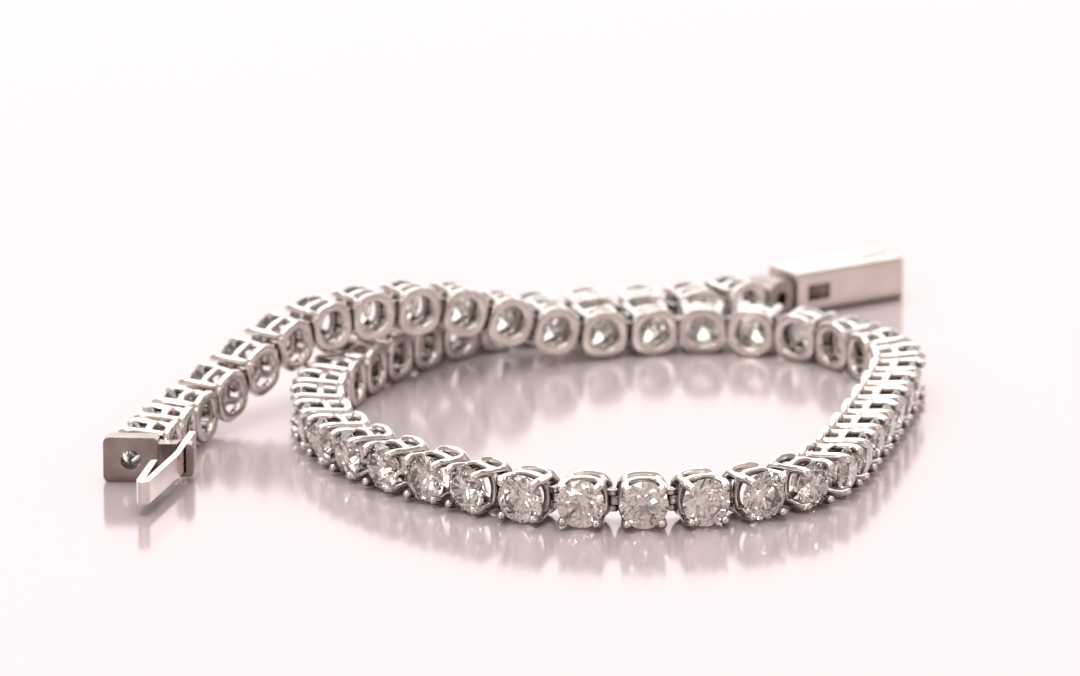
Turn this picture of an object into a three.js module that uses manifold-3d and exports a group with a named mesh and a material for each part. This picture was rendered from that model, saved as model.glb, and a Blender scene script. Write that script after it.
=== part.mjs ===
// A tennis bracelet lying unclasped on a flat surface: 52 four-prong settings with round stones,
// a plate with a folded spring tongue on one end and a hollow box that takes it on the other.
// The loop is open: the tongue's end of the strand climbs over the other one and comes down beside it.
// Millimetres, +Z up, the surface at z = 0, the origin under the middle of the laid bracelet.

import * as THREE from "three";
import { mergeVertices } from "three/addons/utils/BufferGeometryUtils.js";
import Module from "manifold-3d";

const wasm = await Module();
wasm.setup();

// ---- Driving dimensions -------------------------------------------------------------------------

// Every piece of the strand has the same frame: x runs along the strand towards the tongue, y points
// at the wrist and z points up, with y = 0 on the line through the hinges and z = 0 at mid height.
const pitch = 3.2; // hinge to hinge, along the strand
const strandHeight = 2.8; // across the settings, on edge
const wristFace = 1.15; // y of the face that lies on the wrist
const prongTip = -2; // y of the prongs' tips
const bodyThickness = 3.1; // plate and box, from the wrist side to the stone side
const bodyHeight = 2.6; // plate and box, on edge
const bodyCorner = 0.35;
const gap = 0.1; // between pieces that are hinged to each other

// The route in plan, from the box to the tongue: each row is a run of settings, and each setting
// of the row turns by that many degrees from the piece before it, anticlockwise seen from above.
const route = [
  { settings: 1, turn: -7 },
  { settings: 2, turn: -17 },
  { settings: 2, turn: 8 },
  { settings: 3, turn: 11 },
  { settings: 3, turn: 6 },
  { settings: 7, turn: 9.5 },
  { settings: 1, turn: -4 },
  { settings: 1, turn: 20 },
  { settings: 1, turn: 13 },
  { settings: 1, turn: 14 },
  { settings: 1, turn: 13 },
  { settings: 1, turn: 14 },
  { settings: 1, turn: 18 },
  { settings: 1, turn: 21 },
  { settings: 1, turn: 6 },
  { settings: 5, turn: 1 },
  { settings: 7, turn: 16.5 },
  { settings: 2, turn: 4.5 },
  { settings: 4, turn: 2.5 },
  { settings: 2, turn: 8.5 },
  { settings: 2, turn: 3 },
  { settings: 2, turn: 10 },
  { settings: 1, turn: 0 },
];
const boxHeading = 213; // the way the strand leaves the box
const endLinkTurn = 14;
const plateTurn = 9;
const plateShift = 0.5; // how far the plate hangs out of line, to the stones' side

// The strand climbs over its own other end in one smooth hump, measured in settings from the box.
const hump = { start: 39.2, crestFrom: 43.8, crestTo: 45, end: 50, height: 3.05 };

// The strand is joined along its thread into these runs of settings.
const runs = [6, 7, 6, 7, 6, 7, 6, 7];

const setting = {
  sides: 8,
  ring: { inner: 0.95, from: wristFace, to: 0.7 }, // the open ring that lies on the wrist
  rail: { inner: 1.05, from: -0.05, to: -0.45 }, // the gallery rail under the stone
  prong: { radius: 0.21, foot: 1.18, tip: 1.64 }, // foot and tip are distances from the setting's axis
  lug: { height: 0.8, from: 0.95, to: -0.3, bite: 0.15 }, // the hinge block between two settings
};
const stone = { radius: 1.35, table: 0.78, girdle: -1.3, top: -1.75, culet: -0.2 };
const tie = { radius: 0.09, sides: 3, bite: 0.25 }; // a thin bar from one stone's girdle to the next

const box = {
  length: 8,
  wall: 0.4,
  window: { length: 1.6, height: 1, fromHinge: 0.9 },
  notch: { length: 2.2, width: 0.5 },
};
const endLink = { length: 2.7, thickness: 2.2, height: 2.4, inset: 0.2, crown: 1, hole: 0.45 };
const plate = { thickness: 1.1, hole: 0.56, sides: 16 };
const cheek = { reach: 2, height: 1.9, inset: 0.1, root: 0.55 };
const tongue = {
  width: 1.3,
  leaf: 0.4,
  root: { x: -1.2, y: 2.85 },
  tip: { x: 8.2, y: 1.15 },
  rise: { height: 1.1, endsAt: 2 }, // the root's upper edge, which slopes down to the leaf's at this x
  fold: { length: 4.8, opening: 0.85, neck: 0.5 },
  clearance: 0.06,
};
const cut = 1; // how far a cutter runs past what it cuts

// ---- Materials ----------------------------------------------------------------------------------

const whiteGold = new THREE.MeshStandardMaterial({ color: 0xd9d2cd, roughness: 0.16, metalness: 1 });
const springGold = new THREE.MeshStandardMaterial({ color: 0xe6e0da, roughness: 0.12, metalness: 1 });
const diamond = new THREE.MeshStandardMaterial({ color: 0xf2efea, roughness: 0.04, metalness: 0 });

// ---- Solids -------------------------------------------------------------------------------------

function solidOf(geometry, matrix = new THREE.Matrix4()) {
  const bare = new THREE.BufferGeometry();
  bare.setAttribute("position", geometry.getAttribute("position").clone());
  if (geometry.index) bare.setIndex(geometry.index.clone());
  bare.applyMatrix4(matrix);
  const merged = mergeVertices(bare, 1e-4);
  const mesh = new wasm.Mesh({
    numProp: 3,
    vertProperties: merged.attributes.position.array,
    triVerts: new Uint32Array(merged.index.array),
  });
  return new wasm.Manifold(mesh);
}

function geometryOf(solid) {
  const mesh = solid.getMesh();
  const geometry = new THREE.BufferGeometry();
  geometry.setAttribute("position", new THREE.BufferAttribute(mesh.vertProperties, 3));
  geometry.setIndex(new THREE.BufferAttribute(mesh.triVerts, 1));
  geometry.computeVertexNormals();
  return geometry;
}

function joined(solids) {
  return solids.reduce((all, next) => all.add(next));
}

function moved(x, y, z) {
  return new THREE.Matrix4().makeTranslation(x, y, z);
}

// A block between two corners.
function block(low, high) {
  const size = high.map((value, i) => value - low[i]);
  const middle = high.map((value, i) => (value + low[i]) / 2);
  return solidOf(new THREE.BoxGeometry(...size), moved(...middle));
}

// A straight bar of a regular section, from one point to another.
function bar(from, to, radius, sides) {
  const along = to.clone().sub(from);
  const geometry = new THREE.CylinderGeometry(radius, radius, along.length(), sides);
  const turn = new THREE.Quaternion().setFromUnitVectors(
    new THREE.Vector3(0, 1, 0),
    along.clone().normalize(),
  );
  const middle = from.clone().add(to).multiplyScalar(0.5);
  return solidOf(geometry, new THREE.Matrix4().compose(middle, turn, new THREE.Vector3(1, 1, 1)));
}

// A profile of [radius, y] points turned about the y axis, with flats that face along x and z.
function turned(profile) {
  const points = profile.map(([radius, y]) => new THREE.Vector2(radius, y));
  return solidOf(new THREE.LatheGeometry(points, setting.sides, Math.PI / setting.sides));
}

// A rectangle of y by z with round corners, extruded along x from x0 to x1.
function roundedBar(x0, x1, y0, y1, height, corner) {
  const z = height / 2;
  const outline = new THREE.Shape();
  outline.moveTo(y0 + corner, -z);
  outline.lineTo(y1 - corner, -z);
  outline.absarc(y1 - corner, corner - z, corner, -Math.PI / 2, 0);
  outline.lineTo(y1, z - corner);
  outline.absarc(y1 - corner, z - corner, corner, 0, Math.PI / 2);
  outline.lineTo(y0 + corner, z);
  outline.absarc(y0 + corner, z - corner, corner, Math.PI / 2, Math.PI);
  outline.lineTo(y0, corner - z);
  outline.absarc(y0 + corner, corner - z, corner, Math.PI, 1.5 * Math.PI);
  const options = { depth: x1 - x0, bevelEnabled: false, curveSegments: 3 };
  const geometry = new THREE.ExtrudeGeometry(outline, options);
  // The shape's own x, y and depth become the piece's y, z and x.
  const axes = new THREE.Matrix4().makeBasis(
    new THREE.Vector3(0, 1, 0),
    new THREE.Vector3(0, 0, 1),
    new THREE.Vector3(1, 0, 0),
  );
  return solidOf(geometry, moved(x0, 0, 0).multiply(axes));
}

// ---- The route ----------------------------------------------------------------------------------

function humpHeight(count) {
  const climb = (count - hump.start) / (hump.crestFrom - hump.start);
  const descent = (hump.end - count) / (hump.end - hump.crestTo);
  const share = THREE.MathUtils.clamp(Math.min(climb, descent), 0, 1);
  return (hump.height * (1 - Math.cos(Math.PI * share))) / 2;
}

// A frame that runs from a point on the hinge line, in the given heading, up by rise over its length.
function frameAt(start, heading, length, rise) {
  const angle = THREE.MathUtils.degToRad(heading);
  const level = Math.sqrt(length * length - rise * rise);
  const step = new THREE.Vector3(level * Math.cos(angle), level * Math.sin(angle), rise);
  const along = step.clone().normalize();
  const toWrist = new THREE.Vector3(-Math.sin(angle), Math.cos(angle), 0);
  const up = along.clone().cross(toWrist);
  const middle = start.clone().addScaledVector(step, 0.5);
  const matrix = new THREE.Matrix4().makeBasis(along, toWrist, up).setPosition(middle);
  return { matrix, end: start.clone().add(step) };
}

const boxEnd = new THREE.Vector3(0, 0, strandHeight / 2);
const endLinkHeading = boxHeading + endLinkTurn;
const endLinkFrame = frameAt(boxEnd, endLinkHeading, endLink.length, 0);

const settingFrames = [];
let joint = endLinkFrame.end;
let heading = endLinkHeading;
for (const row of route) {
  for (let i = 0; i < row.settings; i++) {
    const count = settingFrames.length;
    const rise = humpHeight(count + 1) - humpHeight(count);
    heading += row.turn;
    const frame = frameAt(joint, heading, pitch, rise);
    settingFrames.push(frame.matrix);
    joint = frame.end;
  }
}
const plateHeading = heading + plateTurn;

// ---- Settings and stones ------------------------------------------------------------------------

// A ring between two levels of y. Its outer flats are half the strand's height from the axis.
function ringSolid({ inner, from, to }) {
  const outer = strandHeight / 2 / Math.cos(Math.PI / setting.sides);
  return turned([
    [inner, to],
    [outer, to],
    [outer, from],
    [inner, from],
    [inner, to],
  ]);
}

function settingSolid() {
  const { ring, rail, prong } = setting;
  const parts = [ringSolid(ring), ringSolid(rail)];
  for (const x of [-1, 1]) {
    for (const z of [-1, 1]) {
      const corner = new THREE.Vector3(x, 0, z).normalize();
      const foot = corner.clone().multiplyScalar(prong.foot).setY((rail.from + rail.to) / 2);
      const tip = corner.clone().multiplyScalar(prong.tip).setY(prongTip);
      parts.push(bar(foot, tip, prong.radius, 4));
    }
  }
  return joined(parts);
}

function stoneSolid() {
  return turned([
    [0, stone.top],
    [stone.table, stone.top],
    [stone.radius, stone.girdle],
    [0, stone.culet],
  ]);
}

// The hinge block on the far side of a setting, up to x = reach.
function lugSolid(reach) {
  const { height, from, to, bite } = setting.lug;
  return block([strandHeight / 2 - bite, to, -height / 2], [reach, from, height / 2]);
}

const settingGeometry = geometryOf(settingSolid());
const stoneGeometry = geometryOf(stoneSolid());
const nextSetting = pitch - strandHeight / 2; // x where the next setting's rings begin
const longLug = geometryOf(lugSolid(nextSetting + setting.lug.bite));
const shortLug = geometryOf(lugSolid(nextSetting - 2.5 * gap));

function strandSolid(frames) {
  const last = frames.length - 1;
  return joined(
    frames.flatMap((frame, i) => [
      solidOf(settingGeometry, frame),
      solidOf(i < last ? longLug : shortLug, frame),
    ]),
  );
}

// The stones of one run, tied at their girdles by thin bars so that they are one solid.
function stonesSolid(frames) {
  const reach = stone.radius - tie.bite;
  const parts = frames.map((frame) => solidOf(stoneGeometry, frame));
  for (let i = 1; i < frames.length; i++) {
    const from = new THREE.Vector3(reach, stone.girdle, 0).applyMatrix4(frames[i - 1]);
    const to = new THREE.Vector3(-reach, stone.girdle, 0).applyMatrix4(frames[i]);
    parts.push(bar(from, to, tie.radius, tie.sides));
  }
  return joined(parts);
}

// ---- The clasp ----------------------------------------------------------------------------------

const stoneSide = wristFace - bodyThickness; // y of the clasp's faces on the stones' side
const bodyMiddle = wristFace - bodyThickness / 2;

// The box ends at x = 0, where the strand begins, and its mouth is at x = -length. Its wrist side
// has a square window, and its upper side a thumb notch at the mouth.
function boxSolid() {
  const { length, wall, window, notch } = box;
  const outer = roundedBar(-length, -gap, stoneSide, wristFace, bodyHeight, bodyCorner);
  const hollow = roundedBar(
    -length - cut,
    -gap - wall,
    stoneSide + wall,
    wristFace - wall,
    bodyHeight - 2 * wall,
    bodyCorner / 2,
  );
  const opening = block(
    [-window.fromHinge - window.length, wristFace - 1.5 * wall, -window.height / 2],
    [-window.fromHinge, wristFace + cut, window.height / 2],
  );
  const thumb = block(
    [-length - cut, bodyMiddle - notch.width / 2, bodyHeight / 2 - 1.5 * wall],
    [-length + notch.length, bodyMiddle + notch.width / 2, bodyHeight / 2 + cut],
  );
  return outer.subtract(hollow).subtract(opening).subtract(thumb);
}

// A short block with a round top and a hole through it towards the wrist, centred on its own frame.
function endLinkSolid() {
  const { length, thickness, height, inset, crown, hole } = endLink;
  const half = length / 2 - gap;
  const outline = new THREE.Shape();
  outline.absarc(half - crown, height / 2 - crown, crown, 0, Math.PI / 2);
  outline.absarc(crown - half, height / 2 - crown, crown, Math.PI / 2, Math.PI);
  outline.lineTo(-half, -height / 2);
  outline.lineTo(half, -height / 2);
  const round = new THREE.Path();
  round.absarc(0, 0, hole, 0, 2 * Math.PI, true);
  outline.holes.push(round);
  const options = { depth: thickness, bevelEnabled: false, curveSegments: 5 };
  const geometry = new THREE.ExtrudeGeometry(outline, options);
  // The shape stands in x and z, and its depth runs towards the stone side.
  const upright = new THREE.Matrix4().makeRotationX(Math.PI / 2);
  return solidOf(geometry, moved(0, wristFace - inset, 0).multiply(upright));
}

// The plate closes the strand's end. Its cheek, on the wrist side, holds the tongue in a slot.
function plateSolid() {
  const { thickness, hole, sides } = plate;
  const face = roundedBar(gap, gap + thickness, stoneSide, wristFace, bodyHeight, bodyCorner);
  const before = new THREE.Vector3(gap - cut, bodyMiddle, 0);
  const behind = new THREE.Vector3(gap + thickness + cut, bodyMiddle, 0);
  const side = roundedBar(
    gap + cheek.inset,
    gap + thickness - cheek.inset,
    wristFace - cheek.root,
    wristFace + cheek.reach,
    cheek.height,
    bodyCorner,
  );
  return face.subtract(bar(before, behind, hole, sides)).add(side).subtract(tongueSlot());
}

// A point in plan beside the tongue's long leaf: s along it towards the tip, t across it towards
// the wrist, both from the given end.
function besideLeaf(end, s, t) {
  const { root, tip } = tongue;
  const along = new THREE.Vector2(tip.x - root.x, tip.y - root.y).normalize();
  const across = new THREE.Vector2(-along.y, along.x);
  return new THREE.Vector2(end.x, end.y).addScaledVector(along, s).addScaledVector(across, t);
}

// An outline in plan, made an upright strip between two heights.
function uprightStrip(points, low, high) {
  const options = { depth: high - low, bevelEnabled: false };
  const geometry = new THREE.ExtrudeGeometry(new THREE.Shape(points), options);
  return solidOf(geometry, moved(0, 0, low));
}

// One folded strip: a long leaf from the root to the tip, turned back there into a short leaf that
// springs open towards the stone side.
function tongueSolid() {
  const { width, leaf, root, tip, rise, fold } = tongue;
  const half = leaf / 2;
  const outline = [
    besideLeaf(root, 0, -half),
    besideLeaf(tip, -2 * fold.neck, -half),
    besideLeaf(tip, -fold.length, half - fold.opening),
    besideLeaf(tip, -fold.length, -half - fold.opening),
    besideLeaf(tip, -fold.neck, -half - leaf),
    besideLeaf(tip, 0, -leaf),
    besideLeaf(tip, 0, 0),
    besideLeaf(tip, -leaf, half),
    besideLeaf(root, 0, half),
  ];
  const side = new THREE.Shape([
    new THREE.Vector2(root.x - cut, -width / 2),
    new THREE.Vector2(tip.x + cut, -width / 2),
    new THREE.Vector2(tip.x + cut, width / 2),
    new THREE.Vector2(rise.endsAt, width / 2),
    new THREE.Vector2(root.x, rise.height),
    new THREE.Vector2(root.x - cut, rise.height),
  ]);
  const depth = bodyThickness + 2 * cut;
  const geometry = new THREE.ExtrudeGeometry(side, { depth, bevelEnabled: false });
  const upright = new THREE.Matrix4().makeRotationX(Math.PI / 2);
  const profile = solidOf(geometry, moved(0, root.y + cut, 0).multiply(upright));
  return uprightStrip(outline, -cut, rise.height + cut).intersect(profile);
}

// The slot that the long leaf stands in, a little wider and deeper than the leaf and open above.
function tongueSlot() {
  const { width, leaf, root, tip, clearance } = tongue;
  const half = leaf / 2 + clearance;
  const outline = [
    besideLeaf(root, -cut, -half),
    besideLeaf(tip, 0, -half),
    besideLeaf(tip, 0, half),
    besideLeaf(root, -cut, half),
  ];
  return uprightStrip(outline, -width / 2 - clearance, bodyHeight);
}

// ---- The bracelet -------------------------------------------------------------------------------

const laid = new THREE.Group();

function addPiece(parent, name, solid, material) {
  const mesh = new THREE.Mesh(geometryOf(solid), material);
  mesh.name = name;
  parent.add(mesh);
  return mesh;
}

let first = 0;
runs.forEach((count, i) => {
  const frames = settingFrames.slice(first, first + count);
  const number = String(i + 1).padStart(2, "0");
  addPiece(laid, `strand_${number}`, strandSolid(frames), whiteGold);
  addPiece(laid, `stones_${number}`, stonesSolid(frames), diamond);
  first += count;
});

const boxGroup = new THREE.Group();
boxGroup.position.set(boxEnd.x, boxEnd.y, bodyHeight / 2);
boxGroup.rotation.z = THREE.MathUtils.degToRad(boxHeading);
addPiece(boxGroup, "clasp_box", boxSolid(), whiteGold);
laid.add(boxGroup);

const endLinkGroup = new THREE.Group();
endLinkGroup.applyMatrix4(endLinkFrame.matrix);
endLinkGroup.position.z = endLink.height / 2;
addPiece(endLinkGroup, "box_end_link", endLinkSolid(), whiteGold);
laid.add(endLinkGroup);

const plateGroup = new THREE.Group();
plateGroup.position.set(joint.x, joint.y, bodyHeight / 2);
plateGroup.rotation.z = THREE.MathUtils.degToRad(plateHeading);
plateGroup.translateY(-plateShift);
addPiece(plateGroup, "tongue_plate", plateSolid(), whiteGold);
addPiece(plateGroup, "tongue", tongueSolid(), springGold);
laid.add(plateGroup);

// The origin goes under the middle of the bracelet's box.
const size = new THREE.Box3().setFromObject(laid, true);
const middle = size.getCenter(new THREE.Vector3());
laid.position.set(-middle.x, -middle.y, -size.min.z);

const bracelet = new THREE.Group();
bracelet.add(laid);
export default bracelet;
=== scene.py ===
"""A tennis bracelet laid unclasped on a glossy pale floor: cast four-prong settings with hinges,
round brilliants, and a box clasp with its folded tongue. Sizes are in millimetres, and MM turns
them into the metres that Blender and the frame use."""

import math
import random

import bmesh
import bpy
import numpy as np
from mathutils import Matrix, Vector


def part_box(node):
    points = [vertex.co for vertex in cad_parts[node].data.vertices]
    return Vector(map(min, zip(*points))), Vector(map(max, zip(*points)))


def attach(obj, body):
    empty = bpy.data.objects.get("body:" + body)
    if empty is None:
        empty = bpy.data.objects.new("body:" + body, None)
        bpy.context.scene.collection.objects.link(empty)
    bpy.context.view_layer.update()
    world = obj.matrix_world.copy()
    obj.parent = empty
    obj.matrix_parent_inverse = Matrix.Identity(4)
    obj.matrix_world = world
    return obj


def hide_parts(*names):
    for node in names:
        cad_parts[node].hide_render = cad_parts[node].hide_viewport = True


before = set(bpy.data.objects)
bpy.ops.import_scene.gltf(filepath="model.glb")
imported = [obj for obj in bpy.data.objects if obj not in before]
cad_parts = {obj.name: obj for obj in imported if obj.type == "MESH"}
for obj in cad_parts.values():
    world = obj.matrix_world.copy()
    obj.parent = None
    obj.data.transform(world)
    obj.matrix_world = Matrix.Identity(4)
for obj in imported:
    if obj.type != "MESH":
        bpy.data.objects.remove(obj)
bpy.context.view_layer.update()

MM = 0.001
random.seed(52)

# ---- The strand's driving dimensions, as in the part ---------------------------------------------

PITCH = 3.2
STRAND_HEIGHT = 2.8
WRIST_FACE = 1.15
BODY_THICKNESS = 3.1
BODY_HEIGHT = 2.6
GAP = 0.1
BOX_HEADING = 213
END_LINK_TURN = 14
PLATE_TURN = 9
PLATE_SHIFT = 0.5  # how far the plate hangs out of line, to the stones' side
# Settings in a row, and the degrees that each of them turns from the piece before it.
ROUTE = [
    (1, -7), (2, -17), (2, 8), (3, 11), (3, 6), (7, 9.5), (1, -4), (1, 20), (1, 13), (1, 14),
    (1, 13), (1, 14), (1, 18), (1, 21), (1, 6), (5, 1), (7, 16.5), (2, 4.5), (4, 2.5), (2, 8.5),
    (2, 3), (2, 10), (1, 0),
]
HUMP = {"start": 39.2, "crest_from": 43.8, "crest_to": 45, "end": 50, "height": 3.05}
RUNS = [6, 7, 6, 7, 6, 7, 6, 7]

SETTING = {
    "ring": {"inner": 0.93, "outer": 1.43, "from": 1.15, "to": 0.7},
    "rail": {"inner": 1.0, "outer": 1.38, "from": -0.04, "to": -0.46},
    "edge": 0.13,  # the rounding of a ring's section
    "squareness": 2.7,  # 2 is a circle, and more is squarer
    "prong_radius": 0.25,
    # A prong's own line: distance from the setting's axis, and y.
    "prong_line": [(1.2, 0.95), (1.28, 0.3), (1.36, -0.4), (1.46, -1.05), (1.46, -1.45), (1.34, -1.72)],
    "voxel": 0.05,
    "faces": 4600,
}
HINGE = {
    "radius": 0.27, "pin": 0.14, "pin_end": 0.05, "eye": 0.24, "fork": (0.3, 0.62),
    "root": 1.12, "top": 0.62, "shoulder": 0.12, "bevel": 0.04,
}
STONE = {"radius": 1.36, "girdle": -1.28, "crown": 0.31, "table": 0.57, "pavilion": 0.86}

BOX = {
    "length": 8, "wall": 0.4, "corner": 0.35,
    "window": {"length": 1.6, "height": 1, "from_hinge": 0.9},
    "notch": {"length": 2.2, "width": 0.5},
}
END_LINK = {"length": 2.7, "thickness": 2.2, "height": 2.4, "inset": 0.2, "crown": 1, "hole": 0.45}
PLATE = {"thickness": 1.1, "hole": 0.56}
CHEEK = {"reach": 2, "height": 1.9, "inset": 0.1, "root": 0.55}
TONGUE = {
    "width": 1.3, "leaf": 0.4, "root": (-1.2, 2.85), "tip": (8.2, 1.15),
    "rise": 1.1, "rise_ends": 2,  # the root's upper edge, which slopes down to the leaf's at this x
    "length": 4.8, "opening": 0.85, "neck": 0.5, "clearance": 0.06, "tip_round": 0.12,
}
BEVEL = {"box": 0.06, "link": 0.12, "plate": 0.07, "tongue": 0.05}


# ---- Frames along the strand ---------------------------------------------------------------------


def hump_height(count):
    """How high the hinge line stands above its rest height, count settings from the box."""
    climb = (count - HUMP["start"]) / (HUMP["crest_from"] - HUMP["start"])
    descent = (HUMP["end"] - count) / (HUMP["end"] - HUMP["crest_to"])
    share = min(max(min(climb, descent), 0), 1)
    return HUMP["height"] * (1 - math.cos(math.pi * share)) / 2


def frame_at(start, heading, length, rise):
    """A piece's frame: x along the strand, y towards the wrist, z up. It also gives the far end."""
    angle = math.radians(heading)
    level = math.sqrt(length * length - rise * rise)
    step = Vector((level * math.cos(angle), level * math.sin(angle), rise))
    along = step.normalized()
    to_wrist = Vector((-math.sin(angle), math.cos(angle), 0))
    up = along.cross(to_wrist)
    matrix = Matrix((along, to_wrist, up)).transposed().to_4x4()
    matrix.translation = start + step / 2
    return matrix, start + step


def turned_frame(place, heading):
    """A level frame at a place."""
    matrix = Matrix.Rotation(math.radians(heading), 4, "Z")
    matrix.translation = place
    return matrix


def lay_strand():
    """The frames of the settings and of the clasp's pieces, from the joint at the box's closed end."""
    start = Vector((0, 0, STRAND_HEIGHT / 2))
    heading = BOX_HEADING + END_LINK_TURN
    link, joint = frame_at(start, heading, END_LINK["length"], 0)
    settings = []
    for count, turn in ROUTE:
        for _ in range(count):
            done = len(settings)
            heading += turn
            rise = hump_height(done + 1) - hump_height(done)
            matrix, joint = frame_at(joint, heading, PITCH, rise)
            settings.append(matrix)
    link.translation.z = END_LINK["height"] / 2
    box = turned_frame(Vector((start.x, start.y, BODY_HEIGHT / 2)), BOX_HEADING)
    plate = turned_frame(Vector((joint.x, joint.y, BODY_HEIGHT / 2)), heading + PLATE_TURN)
    plate = plate @ Matrix.Translation((0, -PLATE_SHIFT, 0))
    return settings, {"box": box, "link": link, "plate": plate}


def strand_origin(box_frame):
    """The shift from the strand's own plan to the part's frame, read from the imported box."""
    low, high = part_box("clasp_box")
    packed = (low + high) / 2 / MM
    own = box_frame @ Vector((-(BOX["length"] + GAP) / 2, WRIST_FACE - BODY_THICKNESS / 2, 0))
    return Matrix.Translation((packed.x - own.x, packed.y - own.y, 0))


setting_frames, clasp_frames = lay_strand()
shift = strand_origin(clasp_frames["box"])
setting_frames = [shift @ matrix for matrix in setting_frames]
clasp_frames = {name: shift @ matrix for name, matrix in clasp_frames.items()}


# ---- Making meshes -------------------------------------------------------------------------------


def object_of(name, mesh):
    obj = bpy.data.objects.new(name, mesh)
    bpy.context.scene.collection.objects.link(obj)
    return obj


def apply_modifiers(obj):
    """The object's mesh with its modifiers done, and the modifiers gone."""
    done = bpy.data.meshes.new_from_object(obj.evaluated_get(bpy.context.evaluated_depsgraph_get()))
    obj.modifiers.clear()
    obj.data = done


def grid_shell(bm, rings, closed_rows=False):
    """A closed surface through rings of points: capped at both ends, or joined end to start."""
    rows = [[bm.verts.new(point) for point in ring] for ring in rings]
    count = len(rows[0])
    pairs = list(zip(rows, rows[1:])) + ([(rows[-1], rows[0])] if closed_rows else [])
    for a, b in pairs:
        for i in range(count):
            j = (i + 1) % count
            bm.faces.new((a[i], a[j], b[j], b[i]))
    if not closed_rows:
        bm.faces.new(list(reversed(rows[0])))
        bm.faces.new(rows[-1])


def rounded_outline(x0, x1, y0, y1, corner, steps):
    """A rectangle with round corners, anticlockwise."""
    centres = [(x1 - corner, y1 - corner, 0), (x0 + corner, y1 - corner, 90),
               (x0 + corner, y0 + corner, 180), (x1 - corner, y0 + corner, 270)]
    points = []
    for x, y, start in centres:
        for i in range(steps + 1):
            angle = math.radians(start + 90 * i / steps)
            points.append((x + corner * math.cos(angle), y + corner * math.sin(angle)))
    return points


def squared(angle, power):
    """The radius, at an angle, of a unit outline between a circle and a square."""
    return (abs(math.cos(angle)) ** power + abs(math.sin(angle)) ** power) ** (-1 / power)


def band(bm, inner, outer, y_from, y_to, steps=48):
    """A band round the y axis with a rounded section, a round inside and a slightly square outside."""
    section = rounded_outline(inner, outer, y_to, y_from, SETTING["edge"], 3)
    rings = []
    for i in range(steps):
        angle = 2 * math.pi * i / steps
        square = squared(angle, SETTING["squareness"])
        ring = []
        for radius, y in section:
            share = (radius - inner) / (outer - inner)
            r = radius * (1 + share * (square - 1))
            ring.append((r * math.cos(angle), y, r * math.sin(angle)))
        rings.append(ring)
    grid_shell(bm, rings, closed_rows=True)


def smooth_line(points, steps):
    """A Catmull-Rom curve through the points."""
    padded = [2 * points[0] - points[1], *points, 2 * points[-1] - points[-2]]
    line = []
    for a, b, c, d in zip(padded, padded[1:], padded[2:], padded[3:]):
        for i in range(steps):
            t = i / steps
            line.append(0.5 * (2 * b + (c - a) * t + (2 * a - 5 * b + 4 * c - d) * t * t
                               + (3 * b - a - 3 * c + d) * t ** 3))
    line.append(points[-1])
    return line


def round_wire(bm, points, radius, sides=14):
    """A round wire along a line, with a domed far end."""
    rings = []
    last = len(points) - 1
    side = Vector((0, 1, 0)).cross(points[1] - points[0]).normalized()
    for i, point in enumerate(points):
        along = (points[min(i + 1, last)] - points[max(i - 1, 0)]).normalized()
        side = (side - along * side.dot(along)).normalized()
        across = along.cross(side)
        rings.append((point, along, side, across, radius))
    point, along, side, across, _ = rings[-1]
    for degrees in (25, 50, 72):
        angle = math.radians(degrees)
        dome = point + along * radius * math.sin(angle)
        rings.append((dome, along, side, across, radius * math.cos(angle)))
    circle = [2 * math.pi * k / sides for k in range(sides)]
    grid_shell(bm, [
        [p + s * r * math.cos(a) + c * r * math.sin(a) for a in circle] for p, _, s, c, r in rings
    ])


def cast_setting():
    """One setting in millimetres: a base ring, a gallery rail and four claws cast as one metal."""
    bm = bmesh.new()
    for name in ("ring", "rail"):
        part = SETTING[name]
        band(bm, part["inner"], part["outer"], part["from"], part["to"])
    for x in (-1, 1):
        for z in (-1, 1):
            line = [Vector((x * r * math.sqrt(0.5), y, z * r * math.sqrt(0.5)))
                    for r, y in SETTING["prong_line"]]
            round_wire(bm, smooth_line(line, 4), SETTING["prong_radius"])
    bmesh.ops.recalc_face_normals(bm, faces=bm.faces)
    mesh = bpy.data.meshes.new("cast_setting")
    bm.to_mesh(mesh)
    bm.free()
    obj = object_of("cast_setting", mesh)
    remesh = obj.modifiers.new("one_metal", "REMESH")
    remesh.mode = "VOXEL"
    remesh.voxel_size = SETTING["voxel"]
    soften = obj.modifiers.new("soften", "SMOOTH")
    soften.factor = 0.5
    soften.iterations = 4
    apply_modifiers(obj)
    thin = obj.modifiers.new("thin", "DECIMATE")
    thin.ratio = min(1, SETTING["faces"] / (2 * len(obj.data.polygons)))
    apply_modifiers(obj)
    return obj


def slab(bm, outline, z0, z1):
    """An outline in x and y made solid from z0 to z1."""
    grid_shell(bm, [[(x, y, z) for x, y in outline] for z in (z0, z1)])


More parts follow.
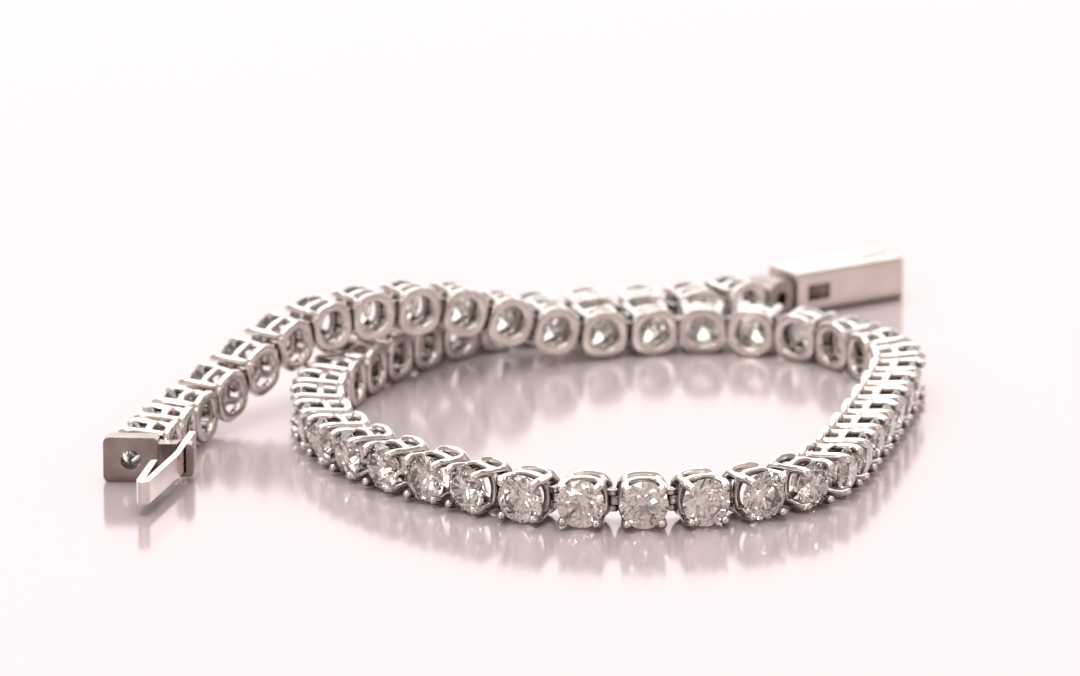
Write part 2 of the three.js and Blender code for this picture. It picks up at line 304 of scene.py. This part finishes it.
def hinge_mesh(name, side):
    """Half a hinge in millimetres, bevelled: side 1 is the fork with its pin, side -1 the eye."""
    joint = side * PITCH / 2
    radius = HINGE["radius"]
    turns = [math.radians(90 - 15 * i) for i in range(13)]
    outline = [(side * HINGE["root"], HINGE["top"]),
               (joint - side * HINGE["shoulder"], HINGE["top"])]
    outline += [(joint + side * radius * math.cos(a), radius * math.sin(a)) for a in turns]
    outline += [(side * HINGE["root"], -radius)]
    if side > 0:
        outline.reverse()
    bm = bmesh.new()
    if side > 0:
        inside, outside = HINGE["fork"]
        slab(bm, outline, inside, outside)
        slab(bm, outline, -outside, -inside)
        circle = [(joint + HINGE["pin"] * math.cos(a), HINGE["pin"] * math.sin(a))
                  for a in (2 * math.pi * k / 12 for k in range(12))]
        slab(bm, circle, -outside - HINGE["pin_end"], outside + HINGE["pin_end"])
    else:
        slab(bm, outline, -HINGE["eye"], HINGE["eye"])
    bmesh.ops.recalc_face_normals(bm, faces=bm.faces)
    mesh = bpy.data.meshes.new(name)
    bm.to_mesh(mesh)
    bm.free()
    obj = object_of(name, mesh)
    bevel = obj.modifiers.new("bevel", "BEVEL")
    bevel.width = HINGE["bevel"]
    bevel.segments = 2
    apply_modifiers(obj)
    return obj


def brilliant():
    """A round brilliant of radius 1, its girdle at z = 0 and its table up: vertices and faces."""
    half, crown, table, depth = 0.02, STONE["crown"], STONE["table"], STONE["pavilion"]
    star, lower = 0.765, 0.23
    cos = math.cos(math.pi / 8)

    def at(radius, eighths, z):
        angle = math.pi / 4 * eighths
        return (radius * math.cos(angle), radius * math.sin(angle), z)

    star_z = half + crown * (1 - star * cos) / (1 - table)
    lower_z = -half - depth * (1 - lower * cos)
    verts = [at(table, k, half + crown) for k in range(8)]
    verts += [at(star, k + 0.5, star_z) for k in range(8)]
    verts += [at(1, k / 2, half) for k in range(16)]
    verts += [at(1, k / 2, -half) for k in range(16)]
    verts += [at(lower, k + 0.5, lower_z) for k in range(8)]
    verts.append((0, 0, -half - depth))
    stars, girdle, under, lows, culet = 8, 16, 32, 48, 56
    faces = [tuple(range(8))]
    for k in range(8):
        after, before = (k + 1) % 8, (k - 1) % 8
        a, b, c = girdle + 2 * k, girdle + 2 * k + 1, girdle + (2 * k + 2) % 16
        faces.append((k, stars + k, after))
        faces.append((k, stars + before, a, stars + k))
        faces.append((stars + k, a, b))
        faces.append((stars + k, b, c))
        d, e, f = under + 2 * k, under + 2 * k + 1, under + (2 * k + 2) % 16
        faces.append((a, d, e, b))
        faces.append((b, e, f, c))
        faces.append((d, lows + k, e))
        faces.append((e, lows + k, f))
        faces.append((d, lows + before, culet, lows + k))
    return np.array(verts, float), faces


def arrays_of(obj):
    """A mesh's points and faces, and the object removed."""
    points = np.array([v.co for v in obj.data.vertices], float)
    faces = [tuple(p.vertices) for p in obj.data.polygons]
    bpy.data.objects.remove(obj)
    return points, faces


def joined_mesh(name, copies, smooth):
    """One mesh from (points, faces, matrix) copies, its points turned from millimetres to metres."""
    all_points, all_faces, start = [], [], 0
    for points, faces, matrix in copies:
        m = np.array(matrix)
        all_points.append((points @ m[:3, :3].T + m[:3, 3]) * MM)
        all_faces.extend(tuple(i + start for i in face) for face in faces)
        start += len(points)
    mesh = bpy.data.meshes.new(name)
    mesh.from_pydata(np.concatenate(all_points).tolist(), [], all_faces)
    mesh.polygons.foreach_set("use_smooth", [smooth] * len(mesh.polygons))
    mesh.update()
    bm = bmesh.new()
    bm.from_mesh(mesh)
    bmesh.ops.recalc_face_normals(bm, faces=bm.faces)
    bm.to_mesh(mesh)
    bm.free()
    return mesh


def piece(name, mesh, material, slot, *nodes):
    """A finished piece: it rides with the bracelet, takes the given material and stands for CAD nodes;
    its slot argument is not used.
    """
    obj = object_of(name, mesh)
    mesh.materials.clear()
    mesh.materials.append(material)
    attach(obj, "root")
    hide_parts(*nodes)
    return obj


# ---- Materials -----------------------------------------------------------------------------------


def new_material(name):
    material = bpy.data.materials.new(name)
    material.use_nodes = True
    nodes = material.node_tree.nodes
    return material, nodes, material.node_tree.links, nodes["Principled BSDF"]


def noise_node(nodes, links, size, detail, stretch=(1, 1, 1)):
    """Noise whose features are about size millimetres across, stretched along the axes."""
    place = nodes.new("ShaderNodeTexCoord")
    mapping = nodes.new("ShaderNodeMapping")
    mapping.inputs["Scale"].default_value = stretch
    noise = nodes.new("ShaderNodeTexNoise")
    noise.inputs["Scale"].default_value = 1 / (size * MM)
    noise.inputs["Detail"].default_value = detail
    links.new(place.outputs["Object"], mapping.inputs["Vector"])
    links.new(mapping.outputs["Vector"], noise.inputs["Vector"])
    return noise


def ramp_node(nodes, links, source, low, high, colours):
    """A colour ramp from low to high on a node's noise value."""
    ramp = nodes.new("ShaderNodeValToRGB")
    ramp.color_ramp.elements[0].position = low
    ramp.color_ramp.elements[1].position = high
    for element, colour in zip(ramp.color_ramp.elements, colours):
        element.color = (*colour, 1)
    links.new(source.outputs["Fac"], ramp.inputs["Fac"])
    return ramp


def range_node(nodes, links, source, low, high):
    """A node's noise value brought into a range."""
    spread = nodes.new("ShaderNodeMapRange")
    spread.inputs["From Min"].default_value = 0.3
    spread.inputs["From Max"].default_value = 0.7
    spread.inputs["To Min"].default_value = low
    spread.inputs["To Max"].default_value = high
    links.new(source.outputs["Fac"], spread.inputs["Value"])
    return spread


def white_gold(name, dark, light, roughness, bump, grain):
    """Rhodium-plated white gold: a warm tone that varies, painted shade darkening its crevices, unevenly
    polished.
    """
    material, nodes, links, shader = new_material(name)
    shader.inputs["Metallic"].default_value = 1
    tone = ramp_node(nodes, links, noise_node(nodes, links, 1.3, 4), 0.35, 0.7, (dark, light))
    # Painted shade: an ambient-occlusion mask mixes a dark brown into the base colour in crevices and
    # between parts, where shade falls.
    shade = nodes.new("ShaderNodeAmbientOcclusion")
    shade.samples = 8
    shade.inputs["Distance"].default_value = 1.1 * MM
    crevice_shade_mask = nodes.new("ShaderNodeMapRange")
    crevice_shade_mask.inputs["From Min"].default_value = 0.25
    crevice_shade_mask.inputs["From Max"].default_value = 0.8
    painted_crevice_shade = nodes.new("ShaderNodeMixRGB")
    painted_crevice_shade.inputs["Color1"].default_value = (0.12, 0.08, 0.065, 1)
    links.new(shade.outputs["AO"], crevice_shade_mask.inputs["Value"])
    links.new(crevice_shade_mask.outputs["Result"], painted_crevice_shade.inputs["Fac"])
    links.new(tone.outputs["Color"], painted_crevice_shade.inputs["Color2"])
    links.new(painted_crevice_shade.outputs["Color"], shader.inputs["Base Color"])
    polish = range_node(nodes, links, noise_node(nodes, links, 0.5, 3), *roughness)
    links.new(polish.outputs["Result"], shader.inputs["Roughness"])
    marks = nodes.new("ShaderNodeBump")
    marks.inputs["Strength"].default_value = bump
    marks.inputs["Distance"].default_value = 0.01 * MM
    links.new(noise_node(nodes, links, grain, 5, (1, 1, 0.35)).outputs["Fac"], marks.inputs["Height"])
    links.new(marks.outputs["Normal"], shader.inputs["Normal"])
    return material


def diamond_material():
    """Clear stone with a trace of warm tint that differs from place to place."""
    material, nodes, links, shader = new_material("diamond")
    shader.inputs["Roughness"].default_value = 0
    shader.inputs["IOR"].default_value = 2.417
    shader.inputs["Transmission Weight"].default_value = 0.97
    tints = ((0.95, 0.92, 0.88), (1, 0.985, 0.965))
    tint = ramp_node(nodes, links, noise_node(nodes, links, 1.1, 2), 0.35, 0.65, tints)
    links.new(tint.outputs["Color"], shader.inputs["Base Color"])
    return material


def floor_material():
    """Glossy pale acrylic: a third a soft mirror, and the rest a pale diffuse sheet."""
    material, nodes, links, shader = new_material("floor")
    nodes.remove(shader)
    sheet = nodes.new("ShaderNodeBsdfDiffuse")
    sheet.inputs["Color"].default_value = (0.56, 0.505, 0.515, 1)
    mirror = nodes.new("ShaderNodeBsdfGlossy")
    mirror.inputs["Color"].default_value = (0.99, 0.9, 0.925, 1)
    mirror.inputs["Roughness"].default_value = 0.13
    both = nodes.new("ShaderNodeMixShader")
    both.inputs["Fac"].default_value = 0.36
    links.new(sheet.outputs["BSDF"], both.inputs[1])
    links.new(mirror.outputs["BSDF"], both.inputs[2])
    links.new(both.outputs["Shader"], nodes["Material Output"].inputs["Surface"])
    return material


setting_gold = white_gold(
    "setting_gold", dark=(0.72, 0.665, 0.63), light=(0.92, 0.885, 0.86),
    roughness=(0.1, 0.24), bump=0.25, grain=0.12,
)
clasp_gold = white_gold(
    "clasp_gold", dark=(0.8, 0.73, 0.695), light=(0.87, 0.82, 0.79),
    roughness=(0.1, 0.2), bump=0.15, grain=0.2,
)
# The same gold painted darker: painted shade for the box's end link and the end plate.
shaded_gold = white_gold(
    "shaded_gold", dark=(0.36, 0.305, 0.28), light=(0.5, 0.44, 0.41),
    roughness=(0.16, 0.3), bump=0.2, grain=0.2,
)
diamond = diamond_material()


# ---- Settings and stones -------------------------------------------------------------------------

setting_arrays = arrays_of(cast_setting())
fork_arrays = arrays_of(hinge_mesh("fork", 1))
eye_arrays = arrays_of(hinge_mesh("eye", -1))
stone_points, stone_faces = brilliant()


def stone_copy(matrix):
    """A stone in its setting, its facets turned a little at random as real ones are."""
    spin = Matrix.Rotation(random.uniform(0, math.pi / 4), 4, "Z")
    tip = Matrix.Rotation(math.pi / 2, 4, "X")  # the table faces away from the wrist
    seat = Matrix.Translation((0, STONE["girdle"], 0))
    lean = Matrix.Rotation(random.uniform(-0.03, 0.03), 4, "X")
    size = Matrix.Scale(STONE["radius"], 4)
    return stone_points, stone_faces, matrix @ seat @ lean @ tip @ size @ spin


def make_strands():
    first = 0
    for number, count in enumerate(RUNS, 1):
        frames = setting_frames[first:first + count]
        metal = []
        for matrix in frames:
            metal += [(*setting_arrays, matrix), (*fork_arrays, matrix), (*eye_arrays, matrix)]
        tag = f"{number:02d}"
        mesh = joined_mesh(f"settings_{tag}", metal, True)
        mesh.set_sharp_from_angle(angle=math.radians(50))
        piece(f"settings_{tag}", mesh, setting_gold, "setting_gold", f"strand_{tag}")
        stones = joined_mesh(f"brilliants_{tag}", [stone_copy(m) for m in frames], False)
        piece(f"brilliants_{tag}", stones, diamond, "diamond", f"stones_{tag}")
        first += count


make_strands()


# ---- The clasp -----------------------------------------------------------------------------------


def solid_object(name, build):
    """An object, in millimetres, from a function that fills a bmesh."""
    bm = bmesh.new()
    build(bm)
    bmesh.ops.recalc_face_normals(bm, faces=bm.faces)
    mesh = bpy.data.meshes.new(name)
    bm.to_mesh(mesh)
    bm.free()
    return object_of(name, mesh)


def bar_along_x(x0, x1, y0, y1, height, corner, steps=6):
    """A rounded rectangle of y by z, along x."""
    outline = rounded_outline(y0, y1, -height / 2, height / 2, corner, steps)
    return lambda bm: grid_shell(bm, [[(x, y, z) for y, z in outline] for x in (x0, x1)])


def round_bar(x0, x1, y, radius, sides=40):
    """A round bar along x."""
    circle = [2 * math.pi * k / sides for k in range(sides)]
    return lambda bm: grid_shell(
        bm, [[(x, y + radius * math.cos(a), radius * math.sin(a)) for a in circle] for x in (x0, x1)]
    )


def finish_clasp_piece(name, body, others, bevel_width, matrix, material, *nodes):
    """Cuts and joins the others with the body, rounds its edges and lays it in place."""
    for operation, other in others:
        boolean = body.modifiers.new(operation.lower(), "BOOLEAN")
        boolean.operation = operation
        boolean.solver = "EXACT"
        boolean.object = other
    apply_modifiers(body)
    for _, other in others:
        bpy.data.objects.remove(other)
    bevel = body.modifiers.new("bevel", "BEVEL")
    bevel.width = bevel_width
    bevel.segments = 3
    bevel.limit_method = "ANGLE"
    bevel.angle_limit = math.radians(35)
    bevel.harden_normals = True
    body.data.shade_smooth()
    apply_modifiers(body)
    mesh = body.data
    bpy.data.objects.remove(body)
    mesh.transform(Matrix.Scale(MM, 4) @ matrix)
    mesh.name = name
    return piece(name, mesh, material, "clasp_gold", *nodes)


CUT = 1  # how far a cutter runs past what it cuts
STONE_SIDE = WRIST_FACE - BODY_THICKNESS
BODY_MIDDLE = WRIST_FACE - BODY_THICKNESS / 2


def make_box():
    length, wall, corner = BOX["length"], BOX["wall"], BOX["corner"]
    window, notch = BOX["window"], BOX["notch"]
    body = solid_object("outer", bar_along_x(-length, -GAP, STONE_SIDE, WRIST_FACE, BODY_HEIGHT, corner))
    hollow = bar_along_x(-length - CUT, -GAP - wall, STONE_SIDE + wall, WRIST_FACE - wall,
                         BODY_HEIGHT - 2 * wall, corner / 2)
    x1 = -window["from_hinge"]
    opening = bar_along_x(x1 - window["length"], x1, WRIST_FACE - 1.5 * wall, WRIST_FACE + CUT,
                          window["height"], 0.02, 1)
    top = rounded_outline(-length - CUT, -length + notch["length"], BODY_MIDDLE - notch["width"] / 2,
                          BODY_MIDDLE + notch["width"] / 2, notch["width"] / 2 - 0.01, 5)
    thumb_low, thumb_high = BODY_HEIGHT / 2 - 1.5 * wall, BODY_HEIGHT / 2 + CUT
    others = [
        ("DIFFERENCE", solid_object("hollow", hollow)),
        ("DIFFERENCE", solid_object("window", opening)),
        ("DIFFERENCE", solid_object("thumb", lambda bm: slab(bm, top, thumb_low, thumb_high))),
    ]
    finish_clasp_piece("box_shell", body, others, BEVEL["box"],
                       clasp_frames["box"], clasp_gold, "clasp_box")


def make_end_link():
    length, height, crown = END_LINK["length"], END_LINK["height"], END_LINK["crown"]
    half = length / 2 - GAP
    outline = [(half, -height / 2)]
    for start, x in ((0, half - crown), (90, crown - half)):
        for i in range(9):
            angle = math.radians(start + 90 * i / 8)
            outline.append((x + crown * math.cos(angle), height / 2 - crown + crown * math.sin(angle)))
    outline.append((-half, -height / 2))
    near = WRIST_FACE - END_LINK["inset"]
    far = near - END_LINK["thickness"]
    body = solid_object("block", lambda bm: grid_shell(
        bm, [[(x, y, z) for x, z in outline] for y in (near, far)]))
    circle = [2 * math.pi * k / 32 for k in range(32)]
    hole = END_LINK["hole"]
    ends = (near + CUT, far - CUT)
    bore = solid_object("bore", lambda bm: grid_shell(
        bm, [[(hole * math.cos(a), y, hole * math.sin(a)) for a in circle] for y in ends]))
    finish_clasp_piece("box_hinge_link", body, [("DIFFERENCE", bore)], BEVEL["link"],
                       clasp_frames["link"], shaded_gold, "box_end_link")


def beside_leaf(end, s, t):
    """A point s along the tongue's long leaf from one of its ends and t across it, to the wrist."""
    root, tip = Vector(TONGUE["root"]), Vector(TONGUE["tip"])
    along = (tip - root).normalized()
    across = Vector((-along.y, along.x))
    return tuple(Vector(TONGUE[end]) + along * s + across * t)


def make_plate():
    thickness = PLATE["thickness"]
    face = bar_along_x(GAP, GAP + thickness, STONE_SIDE, WRIST_FACE, BODY_HEIGHT, BOX["corner"])
    bore = round_bar(GAP - CUT, GAP + thickness + CUT, BODY_MIDDLE, PLATE["hole"])
    cheek = bar_along_x(GAP + CHEEK["inset"], GAP + thickness - CHEEK["inset"],
                        WRIST_FACE - CHEEK["root"], WRIST_FACE + CHEEK["reach"],
                        CHEEK["height"], BOX["corner"])
    half = TONGUE["leaf"] / 2 + TONGUE["clearance"]
    slot = [beside_leaf("root", -CUT, -half), beside_leaf("tip", 0, -half),
            beside_leaf("tip", 0, half), beside_leaf("root", -CUT, half)]
    reach = TONGUE["width"] / 2 + TONGUE["clearance"]
    others = [
        ("DIFFERENCE", solid_object("bore", bore)),
        ("UNION", solid_object("cheek", cheek)),
        ("DIFFERENCE", solid_object("slot", lambda bm: slab(bm, slot, -reach, BODY_HEIGHT))),
    ]
    finish_clasp_piece("end_plate", solid_object("face", face), others, BEVEL["plate"],
                       clasp_frames["plate"], shaded_gold, "tongue_plate")


def make_tongue():
    half, leaf, neck = TONGUE["leaf"] / 2, TONGUE["leaf"], TONGUE["neck"]
    turn = TONGUE["tip_round"]
    length, opening = TONGUE["length"], TONGUE["opening"]
    outline = [
        beside_leaf("root", 0, -half), beside_leaf("tip", -2 * neck, -half),
        beside_leaf("tip", -length, half - opening), beside_leaf("tip", -length, -half - opening),
        beside_leaf("tip", -neck, -half - leaf), beside_leaf("tip", -turn, -leaf * 0.9),
        beside_leaf("tip", 0, -leaf * 0.45), beside_leaf("tip", -turn, 0),
        beside_leaf("tip", -leaf, half), beside_leaf("root", 0, half),
    ]
    reach, rise = TONGUE["width"] / 2, TONGUE["rise"]
    first, last = TONGUE["root"][0] - CUT, TONGUE["tip"][0] + CUT
    side = [(first, -reach), (last, -reach), (last, reach), (TONGUE["rise_ends"], reach),
            (TONGUE["root"][0], rise), (first, rise)]
    body = solid_object("strip", lambda bm: slab(bm, outline, -CUT, rise + CUT))
    profile = solid_object("profile", lambda bm: grid_shell(
        bm, [[(x, y, z) for x, z in side] for y in (TONGUE["root"][1] + CUT, -BODY_THICKNESS)]))
    finish_clasp_piece("folded_tongue", body, [("INTERSECT", profile)], BEVEL["tongue"],
                       clasp_frames["plate"], clasp_gold, "tongue")


make_box()
make_end_link()
make_plate()
make_tongue()


# ---- Floor, light and camera ---------------------------------------------------------------------


def make_floor():
    half = 2.0
    outline = [(-half, -half), (half, -half), (half, half), (-half, half)]
    mesh = bpy.data.meshes.new("floor")
    mesh.from_pydata([(x, y, 0) for x, y in outline], [], [(0, 1, 2, 3)])
    mesh.materials.append(floor_material())
    object_of("floor", mesh)


def soft_box(name, place, aim, size, radiance, colour):
    """A rectangular light of even radiance, seen in reflections but not by the camera."""
    data = bpy.data.lights.new(name, "AREA")
    data.shape = "RECTANGLE"
    data.size, data.size_y = size
    data.energy = radiance * math.pi * size[0] * size[1]
    data.color = colour
    obj = object_of(name, data)
    obj.location = place
    obj.rotation_euler = (Vector(aim) - Vector(place)).to_track_quat("-Z", "Y").to_euler()
    obj.visible_camera = False


# Metres, as in the frame: the back light also brightens the floor's mirror.
SOFT_BOXES = [
    # name, place, aim, size, radiance, colour
    ("back_light", (0, 0.9, 0.4), (0, 0, 0.05), (2.4, 0.9), 1.36, (1, 0.965, 0.972)),
    ("left_light", (-0.5, -0.65, 0.45), (0, 0, 0), (0.16, 0.16), 9, (1, 0.96, 0.92)),
    ("right_light", (0.35, -0.75, 0.3), (0, 0, 0), (0.1, 0.1), 9, (1, 0.95, 0.9)),
    ("top_light", (-0.1, 0.15, 0.7), (0, 0, 0), (0.9, 0.7), 2.6, (1, 0.99, 0.98)),
]


def make_world(bands):
    """A pale tent: bands of (share from the camera's side to the back, radiance)."""
    world = bpy.data.worlds.new("room")
    world.use_nodes = True
    nodes, links = world.node_tree.nodes, world.node_tree.links
    place = nodes.new("ShaderNodeTexCoord")
    parts = nodes.new("ShaderNodeSeparateXYZ")
    spread = nodes.new("ShaderNodeMapRange")
    spread.inputs["From Min"].default_value = -1
    spread.inputs["From Max"].default_value = 1
    ramp = nodes.new("ShaderNodeValToRGB")
    elements = ramp.color_ramp.elements
    while len(elements) < len(bands):
        elements.new(0.5)
    for element, (share, radiance) in zip(elements, bands):
        element.position = share
        element.color = (*radiance, 1)
    links.new(place.outputs["Generated"], parts.inputs["Vector"])
    links.new(parts.outputs["Y"], spread.inputs["Value"])
    links.new(spread.outputs["Result"], ramp.inputs["Fac"])
    links.new(ramp.outputs["Color"], nodes["Background"].inputs["Color"])
    bpy.context.scene.world = world


# Millimetres in the part's frame, and degrees. The lens is in focus at the front settings.
CAMERA = {"place": (-1.57, -444.78, 119.1), "tilt": 14.51, "pan": 0.33, "focal": 264.05,
          "focus": (0, -23, 1.4), "stop": 62}


def make_camera():
    """Low in front of the bracelet, through a long lens, looking along +Y and down."""
    data = bpy.data.cameras.new("camera")
    data.sensor_width = 36
    data.lens = CAMERA["focal"]
    data.clip_start = 0.01
    data.dof.use_dof = True
    data.dof.focus_object = object_of("focus", None)
    data.dof.focus_object.location = Vector(CAMERA["focus"]) * MM
    data.dof.aperture_fstop = CAMERA["stop"]
    obj = object_of("camera", data)
    obj.location = Vector(CAMERA["place"]) * MM
    obj.rotation_euler = (math.radians(90 - CAMERA["tilt"]), 0, math.radians(-CAMERA["pan"]))
    bpy.context.scene.camera = obj


make_floor()
make_world([
    (0.02, (0.2, 0.165, 0.145)), (0.1, (0.82, 0.685, 0.61)), (0.45, (0.6, 0.51, 0.465)),
    (0.75, (0.3, 0.27, 0.25)),
])
for name, place, aim, size, radiance, colour in SOFT_BOXES:
    soft_box(name, place, aim, size, radiance, colour)
make_camera()
bpy.context.scene.view_settings.view_transform = "Standard"
